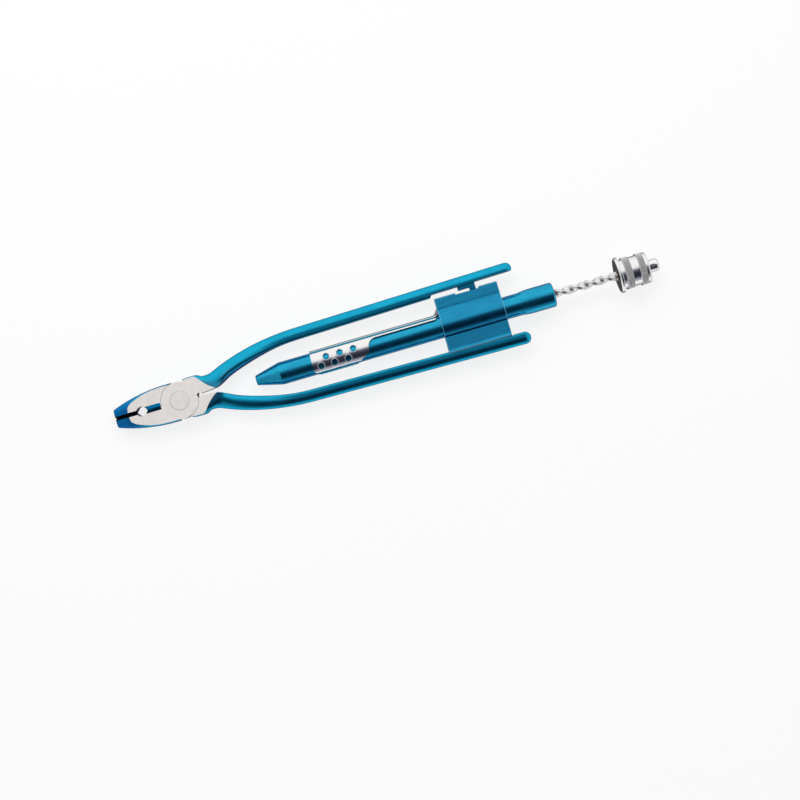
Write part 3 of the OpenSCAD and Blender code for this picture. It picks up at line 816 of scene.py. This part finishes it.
def lever(name, blank, flip, finish, body, node):
    """A lever from the blank: the upper one milled for the hook, the lower one turned over and seated."""
    obj = blank.copy()
    obj.data = blank.data.copy()
    obj.name = name
    obj.data.name = name
    bpy.context.scene.collection.objects.link(obj)
    points = points_of(obj)
    if flip:
        points = turn(points * (1.0, -1.0, -1.0), -HALF_OPEN)
        seat = (points[:, 0] > SHIELD_X0 - 0.06) & (points[:, 0] < SHIELD_X1 + 0.06)
        points[seat, 1] = np.minimum(points[seat, 1], SEAT_Y - 0.02)
    else:
        lines = np.array([handle_line(x)[0] for x in points[:, 0]])
        depth = FLAT_DEPTH * soft_step(FLAT_FROM - 0.9, FLAT_FROM + 0.5, points[:, 0])
        milled = points[:, 0] > FLAT_FROM - 1.0
        flat = lines - HANDLE_R + depth
        points[milled, 1] = np.maximum(points[milled, 1], flat[milled])
        points = turn(points, HALF_OPEN)
    points[:, 2] += MID_Z
    set_points(obj, points)
    face_outwards(obj)
    fitted(obj, finish, body, "blue_coat", node, crease=16.0)


BOW_END = turn(np.array([[BOW_END_X, BOW_END_Y, 0.0]]), HALF_OPEN)[0]


def rest_y(x):
    """Middle line of the upper handle at rest."""
    return BOW_END[1] + (x - BOW_END[0]) * math.tan(LEAN + HALF_OPEN)


SHIELD_MID = 0.5 * (SHIELD_X0 + SHIELD_X1)
SEAT_Y = -(rest_y(SHIELD_MID) - HANDLE_R + SHIELD_SEAT)
SHIELD_TOP = rest_y(SHIELD_MID) - HANDLE_R + FLAT_DEPTH - 3.1


def rivet(finish):
    """Flush rivet, its rims broken by a fine chamfer."""
    high, rim, chamfer = 2.0 * FACE, RIVET_R - 0.22, 0.2
    rings = []
    for z, r in ((0.0, rim), (chamfer, RIVET_R), (high - chamfer, RIVET_R), (high, rim)):
        ring = circle(0.0, 0.0, r)
        rings.append(np.column_stack((ring, np.full(len(ring), z))))
    middles = [ring * (0.5, 0.5, 1.0) for ring in (rings[0], rings[-1])]
    obj = mesh_object("rivet_heads", *lofted([middles[0], *rings, middles[1]]))
    fitted(obj, finish, "frame", "ground_steel", "pivot_rivet")


def hook(finish):
    """Latch hook under the upper handle: block, stem and a foot that points at the jaws."""
    front, block, stem = 174.5, 10.5, 3.7
    block_low, low, foot, foot_high = -2.4, -7.9, 3.4, 1.4
    stem_x = block - stem
    toe_x = stem_x - foot
    outline = eased([
        (0.0, 0.0, 0.0), (0.0, block_low, 0.5), (stem_x, block_low, 0.8), (stem_x, low + foot_high, 0.5),
        (toe_x, low + foot_high, 0.25), (toe_x, low, 0.4), (block, low, 0.5), (block, 0.0, 0.0),
    ], steps=4)
    half_t, edge_round = 1.5, 0.22
    obj = mesh_object("latch_hook_blade", *prism(outline, -half_t, half_t))
    softened(obj, edge_round)
    points = points_of(obj)
    along = points[:, 0] + front - BOW_END[0]
    drop = points[:, 1] - HANDLE_R + FLAT_DEPTH
    c, s = math.cos(LEAN), math.sin(LEAN)
    points[:, 0], points[:, 1] = BOW_END_X + c * along - s * drop, BOW_END_Y + s * along + c * drop
    points = turn(points, HALF_OPEN)
    points[:, 2] += MID_Z
    set_points(obj, points)
    fitted(obj, finish, "upper", "blue_coat", "latch_hook")


# Tube, shield and slide


def tube(finish):
    """Tube swaged to a blunt nose in front, flared and rolled in behind."""
    bore, flare_bore = TUBE_R - TUBE_WALL, FLARE_R - TUBE_WALL
    nose_floor, nose_hole = TUBE_X0 + 1.6, 1.0
    profile = eased([
        (TUBE_X0, nose_hole, 0.15), (TUBE_X0, NOSE_R, 0.7), (CONE_X, TUBE_R, 5.0), (FLARE_X, TUBE_R, 4.0),
        (FLARE_X + 5.4, FLARE_R, 4.0), (TUBE_X1, FLARE_R, 2.4), (TUBE_X1, MOUTH_R, 0.25),
        (TUBE_X1 - 1.2, MOUTH_R, 0.0), (TUBE_X1 - 2.4, flare_bore, 0.0), (FLARE_X + 6.0, flare_bore, 0.0),
        (FLARE_X, bore, 0.0), (CONE_X, bore, 0.0), (nose_floor, NOSE_R - TUBE_WALL, 0.0),
        (nose_floor, nose_hole, 0.0),
    ], closed=True, steps=8)
    obj = mesh_object("tube_body", *turned(profile, 128, closed=True))
    fitted(obj, finish, "frame", "blue_coat", "twist_tube")


def shield_path(top):
    """Middle of the sheet from its open edge, round the tube, to the fold on the lower handle, as (y, z)."""
    ring = TUBE_R + SHIELD_GAP + SHIELD_T / 2.0
    easy, tight = 8.5, 0.3
    rise, fall = (math.sqrt((ring + bend) ** 2 - (SHIELD_HALF + bend) ** 2) for bend in (easy, tight))
    lean = math.atan2(SHIELD_HALF + easy, rise)
    tuck = math.atan2(SHIELD_HALF + tight, fall)
    low = SEAT_Y + SHIELD_T / 2.0
    path = [(y, SHIELD_HALF) for y in np.linspace(top, TUBE_Y + rise, 7)[:-1]]
    for a in np.linspace(-0.5 * np.pi, -np.pi + lean, 18)[:-1]:
        path.append((TUBE_Y + rise + easy * math.cos(a), SHIELD_HALF + easy + easy * math.sin(a)))
    for a in np.linspace(lean, np.pi - tuck, 33):
        path.append((TUBE_Y + ring * math.cos(a), ring * math.sin(a)))
    for a in np.linspace(-tuck, -0.5 * np.pi, 8)[1:]:
        path.append((TUBE_Y - fall + tight * math.cos(a), SHIELD_HALF + tight + tight * math.sin(a)))
    path += [(y, SHIELD_HALF) for y in np.linspace(TUBE_Y - fall, low + FOLD_R, 16)[1:]]
    for a in np.linspace(0.0, 0.5 * np.pi, 7)[1:]:
        path.append((low + FOLD_R - FOLD_R * math.sin(a), SHIELD_HALF - FOLD_R + FOLD_R * math.cos(a)))
    path = np.array(path)
    above = np.maximum(0.0, path[:, 0] - TUBE_Y - rise)
    below = np.maximum(0.0, TUBE_Y - fall - path[:, 0])
    hem = soft_step(low + 1.5, low + 0.4, path[:, 0])
    path[:, 1] += SPLAY_BELOW * below - CLOSE_ABOVE * above + HEM_OUT * hem
    return np.concatenate((path, path[::-1] * (1.0, -1.0)))


def shield(finish):
    """Folded sheet that carries the tube, notched above for the hook."""
    lip, notch_deep = 0.15, 1.0
    bevel = ((0.0, 0.5), (0.06, 0.8), (0.22, 1.0))
    inner_stations = np.concatenate((
        np.linspace(SHIELD_X0 + 0.9, NOTCH_X0 - 0.3, 10),
        NOTCH_X0 + np.array((-0.15, -0.05, 0.05, 0.15)),
        np.linspace(NOTCH_X0 + 0.5, NOTCH_X1 - 0.5, 12),
        NOTCH_X1 + np.array((-0.15, -0.05, 0.05, 0.15)),
        np.linspace(NOTCH_X1 + 0.3, SHIELD_X1 - 0.9, 9),
    ))
    stations = [(SHIELD_X0 + d, full) for d, full in bevel]
    stations += [(x, 1.0) for x in inner_stations]
    stations += [(SHIELD_X1 - d, full) for d, full in reversed(bevel)]
    rings = []
    for x, full in stations:
        inside = soft_step(-0.2, 0.2, x - NOTCH_X0) * (1.0 - soft_step(-0.2, 0.2, x - NOTCH_X1))
        path = shield_path(SHIELD_TOP - lip - notch_deep * inside)
        ahead = np.gradient(path, axis=0)
        ahead /= np.linalg.norm(ahead, axis=1)[:, None]
        side = np.column_stack((-ahead[:, 1], ahead[:, 0])) * 0.5 * SHIELD_T * full
        edge = lip * full * ahead[0]
        ring = np.concatenate((
            path - side, [path[-1] - edge * (1.0, -1.0)], (path + side)[::-1], [path[0] - edge],
        ))
        rings.append(np.column_stack((np.full(len(ring), x), ring[:, 0], ring[:, 1] + MID_Z)))
    fitted(mesh_object("shield_fold", *lofted(rings)), finish, "frame", "blue_coat", "shield")


def wrapped(points):
    """A flat pressing of (x, distance round, height) rolled round the tube, its middle on top."""
    a = points[:, 1] / SLIDE_MEAN
    r = SLIDE_R + points[:, 2]
    return np.column_stack((points[:, 0], TUBE_Y + r * np.cos(a), MID_Z + r * np.sin(a)))


def round_the_tube(y):
    """Distance round the slide from its top to a height above the tube's axis."""
    return SLIDE_MEAN * math.acos(max(-1.0, min(1.0, y / (SLIDE_R + SLIDE_T))))


def slide_outline():
    """Flat outline of one half of the slide: strip, slanted rear edge and rounded pad."""
    strip, tail_half = round_the_tube(STRIP_LOW), 1.6
    tail = eased([
        (STRIP_X1, 0.0, 0.0), (STRIP_X1, tail_half, 0.4), (158.6, tail_half, 0.4), (157.4, strip, 1.4),
        (121.0, strip, 0.0),
    ]).tolist()
    sweep_x, sweep_r = 120.0, 5.0
    edge = []
    for a in np.linspace(0.0, 0.5 * np.pi, 15):
        edge.append((sweep_x - sweep_r * math.sin(a), STRIP_LOW - sweep_r + sweep_r * math.cos(a)))
    slant = eased([
        (*edge[-1], 0.0), (sweep_x - sweep_r, -2.2, 2.5), (106.4, PAD_LOW, 1.8), (PAD_X, PAD_LOW, 3.5),
        (PAD_X, 4.0, 0.0),
    ])
    for start, stop in zip(slant, slant[1:]):
        edge += [tuple(start + (stop - start) * t) for t in (0.25, 0.5, 0.75, 1.0)]
    pad = [(x, round_the_tube(y)) for x, y in edge]
    return np.array(tail + pad + [(PAD_X, 0.0)])


def flat_sheet(xs, ss):
    """Closed flat sheet over a grid of places along and round the slide."""
    rows, cols = len(xs), len(ss)
    top = np.array([(x, s, SLIDE_T) for x in xs for s in ss])
    count = len(top)
    faces = skin(rows, cols, around=False)
    faces += [face[::-1] for face in skin(rows, cols, around=False, first=count)]
    rim = list(range(cols))
    rim += [i * cols + cols - 1 for i in range(1, rows)]
    rim += [(rows - 1) * cols + j for j in range(cols - 2, -1, -1)]
    rim += [i * cols for i in range(rows - 2, 0, -1)]
    for a, b in zip(rim, rim[1:] + rim[:1]):
        faces.append((a, b, b + count, a + count))
    return np.concatenate((top, top * (1.0, 1.0, 0.0))), faces


def hole_rim(x, s):
    """Raised lip round a hole in the flat sheet."""
    b = np.linspace(0.0, 2.0 * np.pi, 10, endpoint=False)
    out = HOLE_R + 0.16 + 0.2 * np.cos(b)
    up = SLIDE_T + 0.12 * np.sin(b)
    rings = []
    for a in np.linspace(0.0, 2.0 * np.pi, 40, endpoint=False):
        rings.append(np.column_stack((x + out * math.cos(a), s + out * math.sin(a), up)))
    return np.concatenate(rings), skin(len(rings), len(b), along=True)


def slide(finish):
    """Thumb pad with two rows of holes, strip and latch plate, pressed from one sheet."""
    half = slide_outline()
    outline = np.concatenate((half, (half * (1.0, -1.0))[-2:0:-1]))
    xs = np.concatenate((np.linspace(PAD_X - 1.0, 116.0, 62), np.linspace(118.0, 175.0, 22)))
    obj = mesh_object("slide_pressing", *flat_sheet(xs, np.linspace(-22.0, 22.0, 101)))
    below, above = -3.0, 4.0
    carve(obj, prism(outline, below, above), "INTERSECT")
    drills, rims = [], []
    for x, angle in HOLES:
        for s in (SLIDE_MEAN * angle, -SLIDE_MEAN * angle):
            drills.append(prism(circle(x, s, HOLE_R, 40), below, above))
            rims.append(hole_rim(x, s))
    carve(obj, merged(*drills))
    sheet = (points_of(obj), [tuple(p.vertices) for p in obj.data.polygons])
    discard(obj)
    points, faces = merged(sheet, *rims)
    for x, angle in HOLES:
        away = np.hypot(points[:, 0] - x, np.abs(points[:, 1]) - SLIDE_MEAN * angle)
        points[:, 2] += 0.07 * (1.0 - soft_step(HOLE_R + 0.1, HOLE_R + 1.9, away))
    latch = eased([
        (153.4, 5.2, 0.0), (157.2, 6.9, 3.5), (160.4, 11.6, 2.0), (162.5, 13.4, 1.5), (176.3, 13.4, 0.3),
        (176.3, 12.5, 0.2), (172.3, 11.9, 1.5), (170.3, 5.2, 0.0),
    ], steps=5)
    upright = prism(latch, MID_Z - 0.6, MID_Z + 0.6)
    whole = merged((wrapped(points), faces), upright)
    fitted(mesh_object("slide_pad", *whole), finish, "slide", "bright_plate", "slide_lock", crease=38.0)


# Rod, knob and stub


def rod(finish):
    """Flat bar with round edges, twisted right-handed, on two plain shanks."""
    around = np.linspace(0.0, 2.0 * np.pi, 36, endpoint=False)
    c, s = np.cos(around), np.sin(around)
    wide = BAR_HALF_WIDE * np.sign(c) * np.abs(c) ** 0.62
    thin = BAR_HALF_THIN * np.sign(s) * np.abs(s) ** 0.4
    rings = []
    for x in np.linspace(TWIST_X0, TWIST_X1, 400):
        a = 2.0 * np.pi * x / LEAD
        y = wide * math.sin(a) + thin * math.cos(a)
        z = -wide * math.cos(a) + thin * math.sin(a)
        rings.append(np.column_stack((np.full(len(around), x), TUBE_Y + y, MID_Z + z)))
    front = turned([(99.0, 1.5), (99.3, SHANK_R), (106.0, SHANK_R), (106.2, 1.2)], 32)
    rear = turned([(265.6, 1.2), (265.8, SHANK_R), (289.4, SHANK_R), (289.7, 1.5)], 32)
    obj = mesh_object("rod_twist", *merged(lofted(rings), front, rear))
    fitted(obj, finish, "rod", "rod_steel", "spiral_rod", crease=40.0)


def knurl(place, r, angle):
    """Radius round the knob, cut by two crossing sets of grooves along the bands."""
    if not any(low - 1e-6 <= place <= high + 1e-6 for low, high in KNURL_BANDS):
        return np.full(len(angle), r)
    count = angle * KNURL_COUNT / (2.0 * np.pi)
    slant = (place - KNOB_X) * KNURL_COUNT / (2.0 * np.pi * r)
    left = np.abs(((count + slant) % 1.0) * 2.0 - 1.0)
    right = np.abs(((count - slant) % 1.0) * 2.0 - 1.0)
    return r - KNURL_DEPTH * (1.0 - np.minimum(1.0, 1.35 * np.minimum(left, right)))


def knob(finish):
    """Flange, two knurled bands with polished grooves between them, and a rear rim."""
    x, edge = KNOB_X, KNURL_R - 0.25
    front, rear = KNURL_BANDS
    path = eased([
        (x, BUSH_R, 0.0), (x, 10.0, 0.5), (x + 0.7, FLANGE_R, 0.4), (x + 2.0, FLANGE_R, 0.35),
        (x + 2.0, GROOVE_R, 0.3), (x + 4.1, GROOVE_R, 0.2), (x + 4.1, edge, 0.1), (x + 4.35, KNURL_R, 0.0),
    ], steps=4).tolist()
    path += [(s, KNURL_R) for s in np.linspace(*front, 25)]
    path += eased([
        (x + 7.85, KNURL_R, 0.0), (x + 8.1, edge, 0.1), (x + 8.1, GROOVE_R, 0.2), (x + 12.7, GROOVE_R, 0.2),
        (x + 12.7, edge, 0.1), (x + 12.95, KNURL_R, 0.0),
    ], steps=4).tolist()
    path += [(s, KNURL_R) for s in np.linspace(*rear, 23)]
    path += eased([
        (x + 16.15, KNURL_R, 0.0), (x + 16.4, RIM_R, 0.1), (x + KNOB_LEN, RIM_R, 0.9),
        (x + KNOB_LEN, RECESS_R, 0.25), (x + RECESS_FLOOR, RECESS_R, 0.0), (x + RECESS_FLOOR, BUSH_R, 0.0),
    ], steps=4).tolist()
    obj = mesh_object("knob_shell", *turned(path, KNURL_COUNT * 6, closed=True, surface=knurl))
    fitted(obj, finish, "knob", "bright_plate", "pull_knob", crease=32.0)


def stub(finish):
    """Bright stub behind the knob, slotted for its cross pin."""
    bore_end = STUB_X1 - 2.35
    profile = eased([
        (STUB_X0, STUB_BORE, 0.0), (STUB_X0, STUB_R, 0.2), (STUB_X0 + 1.6, STUB_R, 0.0),
        (STUB_X1, STUB_R, 1.6), (STUB_X1, 0.05, 0.0), (bore_end, 0.05, 0.0), (bore_end, STUB_BORE, 0.0),
    ], closed=True, steps=7)
    obj = mesh_object("stub_cap", *turned(profile, 72, closed=True))
    right, left = (circle(x, TUBE_Y, SLOT_R, 24) for x in (SLOT_X1, SLOT_X0))
    slot = np.concatenate((right[18:], right[:7], left[6:19]))
    for low, high in ((MID_Z + 2.5, MID_Z + 5.0), (MID_Z - 5.0, MID_Z - 2.5)):
        carve(obj, prism(slot, low, high))
    fitted(obj, finish, "rod", "bright_plate", "end_stub")


# Pieces on their bodies

SHEET_GRAIN = (110.0, 1500.0, 300.0)
lever_skin = lever_coat("lever_coat")
bar_coat = blue_coat("tube_coat", (60.0, 1400.0, 1400.0), 0.0, 0.3)
sheet_coat = blue_coat("shield_coat", SHEET_GRAIN, 0.4, 0.3, sheet_painted_highlights)
hook_coat = blue_coat("hook_coat", SHEET_GRAIN, 0.4, 0.3)
plate = bright_plate("bright_plate")
bronze = plain_metal("bronze_turned", rgb(0.62, 0.43, 0.21), rgb(0.42, 0.27, 0.13), 0.28, 0.45)
dull_steel = plain_metal("dull_steel", rgb(0.42, 0.42, 0.44), rgb(0.20, 0.20, 0.21), 0.30, 0.50)

blank = lever_blank()
lever("upper_lever_forging", blank, False, lever_skin, "upper", "upper_lever")
lever("lower_lever_forging", blank, True, lever_skin, "frame", "lower_lever")
discard(blank)
rivet(ground_steel("ground_rivet"))
hook(hook_coat)
tube(bar_coat)
shield(sheet_coat)
slide(plate)
rod(rod_steel("rod_steel"))
knob(knurl_plate("knob_plate"))
stub(plate)

for node_name, finish in (
    ("drive_nut", dull_steel), ("end_bush", bronze), ("rod_stop", bronze), ("stop_pin", dull_steel),
    ("knob_bush", bronze), ("thrust_washer", dull_steel), ("stub_pin", dull_steel),
):
    inner_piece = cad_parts[node_name]
    inner_piece.data.materials.clear()
    inner_piece.data.materials.append(finish)


# Stage, light and camera

# The floor falls by FLOOR_DROP from the thumb pad to the knob's flange, and passes through FLOOR_X, FLOOR_Z
FLOOR_RUN, FLOOR_DROP = 186.4, 2.96
FLOOR_X, FLOOR_Z = 174.0, -4.26
FLOOR_HALF = 2200.0
# Share of the floor that shows as plain white instead of as lit
FLOOR_WHITE = 0.82

CAMERA_AT = (123.9, -35.7, 908.0)
CAMERA_TURN = math.radians(-16.2)
# Half the width of what the frame shows, at the distance of the tool's middle
FRAME_HALF, FRAME_AWAY = 235.3, 903.0

# Soft lamp on the far side, in metres and watts
LAMP_AT, LAMP_AIM = (0.12, 0.55, 0.75), (0.12, 0.0, 0.0)
LAMP_SIZE, LAMP_WATTS = (1.0, 0.5), 5.0


def floor():
    """Pale floor under the pad and the knob's flange, on which the tool lies at a slight tilt."""
    slope = math.atan2(FLOOR_DROP, FLOOR_RUN)
    points = []
    for x, y in np.array(((-1.0, -1.0), (1.0, -1.0), (1.0, 1.0), (-1.0, 1.0))) * FLOOR_HALF:
        points.append((FLOOR_X + x * math.cos(slope), y, FLOOR_Z - x * math.sin(slope)))
    obj = mesh_object("floor", points, [(0, 1, 2, 3)])
    obj.data.transform(Matrix.Scale(MM, 4))
    material, f = new_finish("floor_white")
    rays = f.node("ShaderNodeLightPath")
    seen, mirrored, passed = f.outputs(rays, "Is Camera Ray", "Is Glossy Ray", "Is Transmission Ray")
    share = (seen + mirrored + passed > 0.5) * FLOOR_WHITE
    matt = f.node("ShaderNodeBsdfDiffuse", sockets={"Color": rgb(0.93, 0.93, 0.93)})
    white = f.node("ShaderNodeEmission", sockets={"Color": rgb(1.0, 1.0, 1.0), "Strength": 1.0})
    both = f.node("ShaderNodeMixShader", sockets={0: share, 1: matt, 2: white})
    f.node("ShaderNodeOutputMaterial", sockets={0: both})
    obj.data.materials.append(material)


def studio():
    """Soft room: bright above and on the far side, dark just below the middle, pale on the near side."""
    world = bpy.data.worlds.new("studio")
    bpy.context.scene.world = world
    world.use_nodes = True
    f = Finish(world.node_tree)
    x, y, z = f.axes(f.node("ShaderNodeTexCoord", out=0))
    around = f.node("ShaderNodeMath", {"operation": "ARCTAN2"}, {0: y, 1: z}) / (2.0 * math.pi) + 0.5
    room = [
        (-180, (0.9, 0.9, 0.9)), (-120, (0.8, 0.8, 0.82)), (-100, (0.52, 0.54, 0.61)),
        (-80, (0.40, 0.42, 0.50)), (-69, (0.27, 0.28, 0.35)), (-57, (0.06, 0.06, 0.075)),
        (-47, (0.02, 0.022, 0.034)), (-19, (0.03, 0.034, 0.055)), (-6, (0.09, 0.095, 0.13)),
        (3, (0.20, 0.205, 0.25)), (10, (0.48, 0.49, 0.54)), (18, (0.80, 0.81, 0.83)),
        (30, (0.97, 0.97, 0.97)), (75, (1.0, 1.0, 1.0)), (180, (0.95, 0.95, 0.95)),
    ]
    stops = [(degrees / 360.0 + 0.5, shade) for degrees, shade in room]
    shade = f.node("ShaderNodeValToRGB", {"stops": stops}, {0: around})
    ahead = (-1.0 * x).ramp(0.22, 0.5, 0.0, 0.85) * y.ramp(0.3, 0.6, 1.0, 0.0)
    shade = f.mixed(ahead, shade, rgb(0.60, 0.61, 0.64))
    shade = f.mixed(x.ramp(0.25, 0.7, 0.0, 0.85), shade, rgb(0.8, 0.8, 0.8))
    light = f.node("ShaderNodeBackground", sockets={"Color": shade, "Strength": 1.0})
    f.node("ShaderNodeOutputWorld", sockets={0: light})


def softbox():
    """Soft lamp aimed at the tool, which polished faces don't mirror."""
    lamp = bpy.data.lights.new("far_softbox", "AREA")
    lamp.shape = "RECTANGLE"
    lamp.size, lamp.size_y = LAMP_SIZE
    lamp.energy = LAMP_WATTS
    obj = bpy.data.objects.new("far_softbox", lamp)
    obj.visible_glossy = False
    bpy.context.scene.collection.objects.link(obj)
    way = Vector(LAMP_AIM) - Vector(LAMP_AT)
    obj.matrix_world = Matrix.Translation(LAMP_AT) @ way.to_track_quat("-Z", "Y").to_matrix().to_4x4()


def camera():
    """Straight above the tool, turned so that it climbs to the right."""
    lens = bpy.data.cameras.new("camera")
    lens.angle = 2.0 * math.atan(FRAME_HALF / FRAME_AWAY)
    lens.clip_end = 20.0
    obj = bpy.data.objects.new("camera", lens)
    obj.location = Vector(CAMERA_AT) * MM
    obj.rotation_euler = (0.0, 0.0, CAMERA_TURN)
    bpy.context.scene.collection.objects.link(obj)
    bpy.context.scene.camera = obj


floor()
studio()
softbox()
camera()
bpy.context.scene.view_settings.view_transform = "Standard"
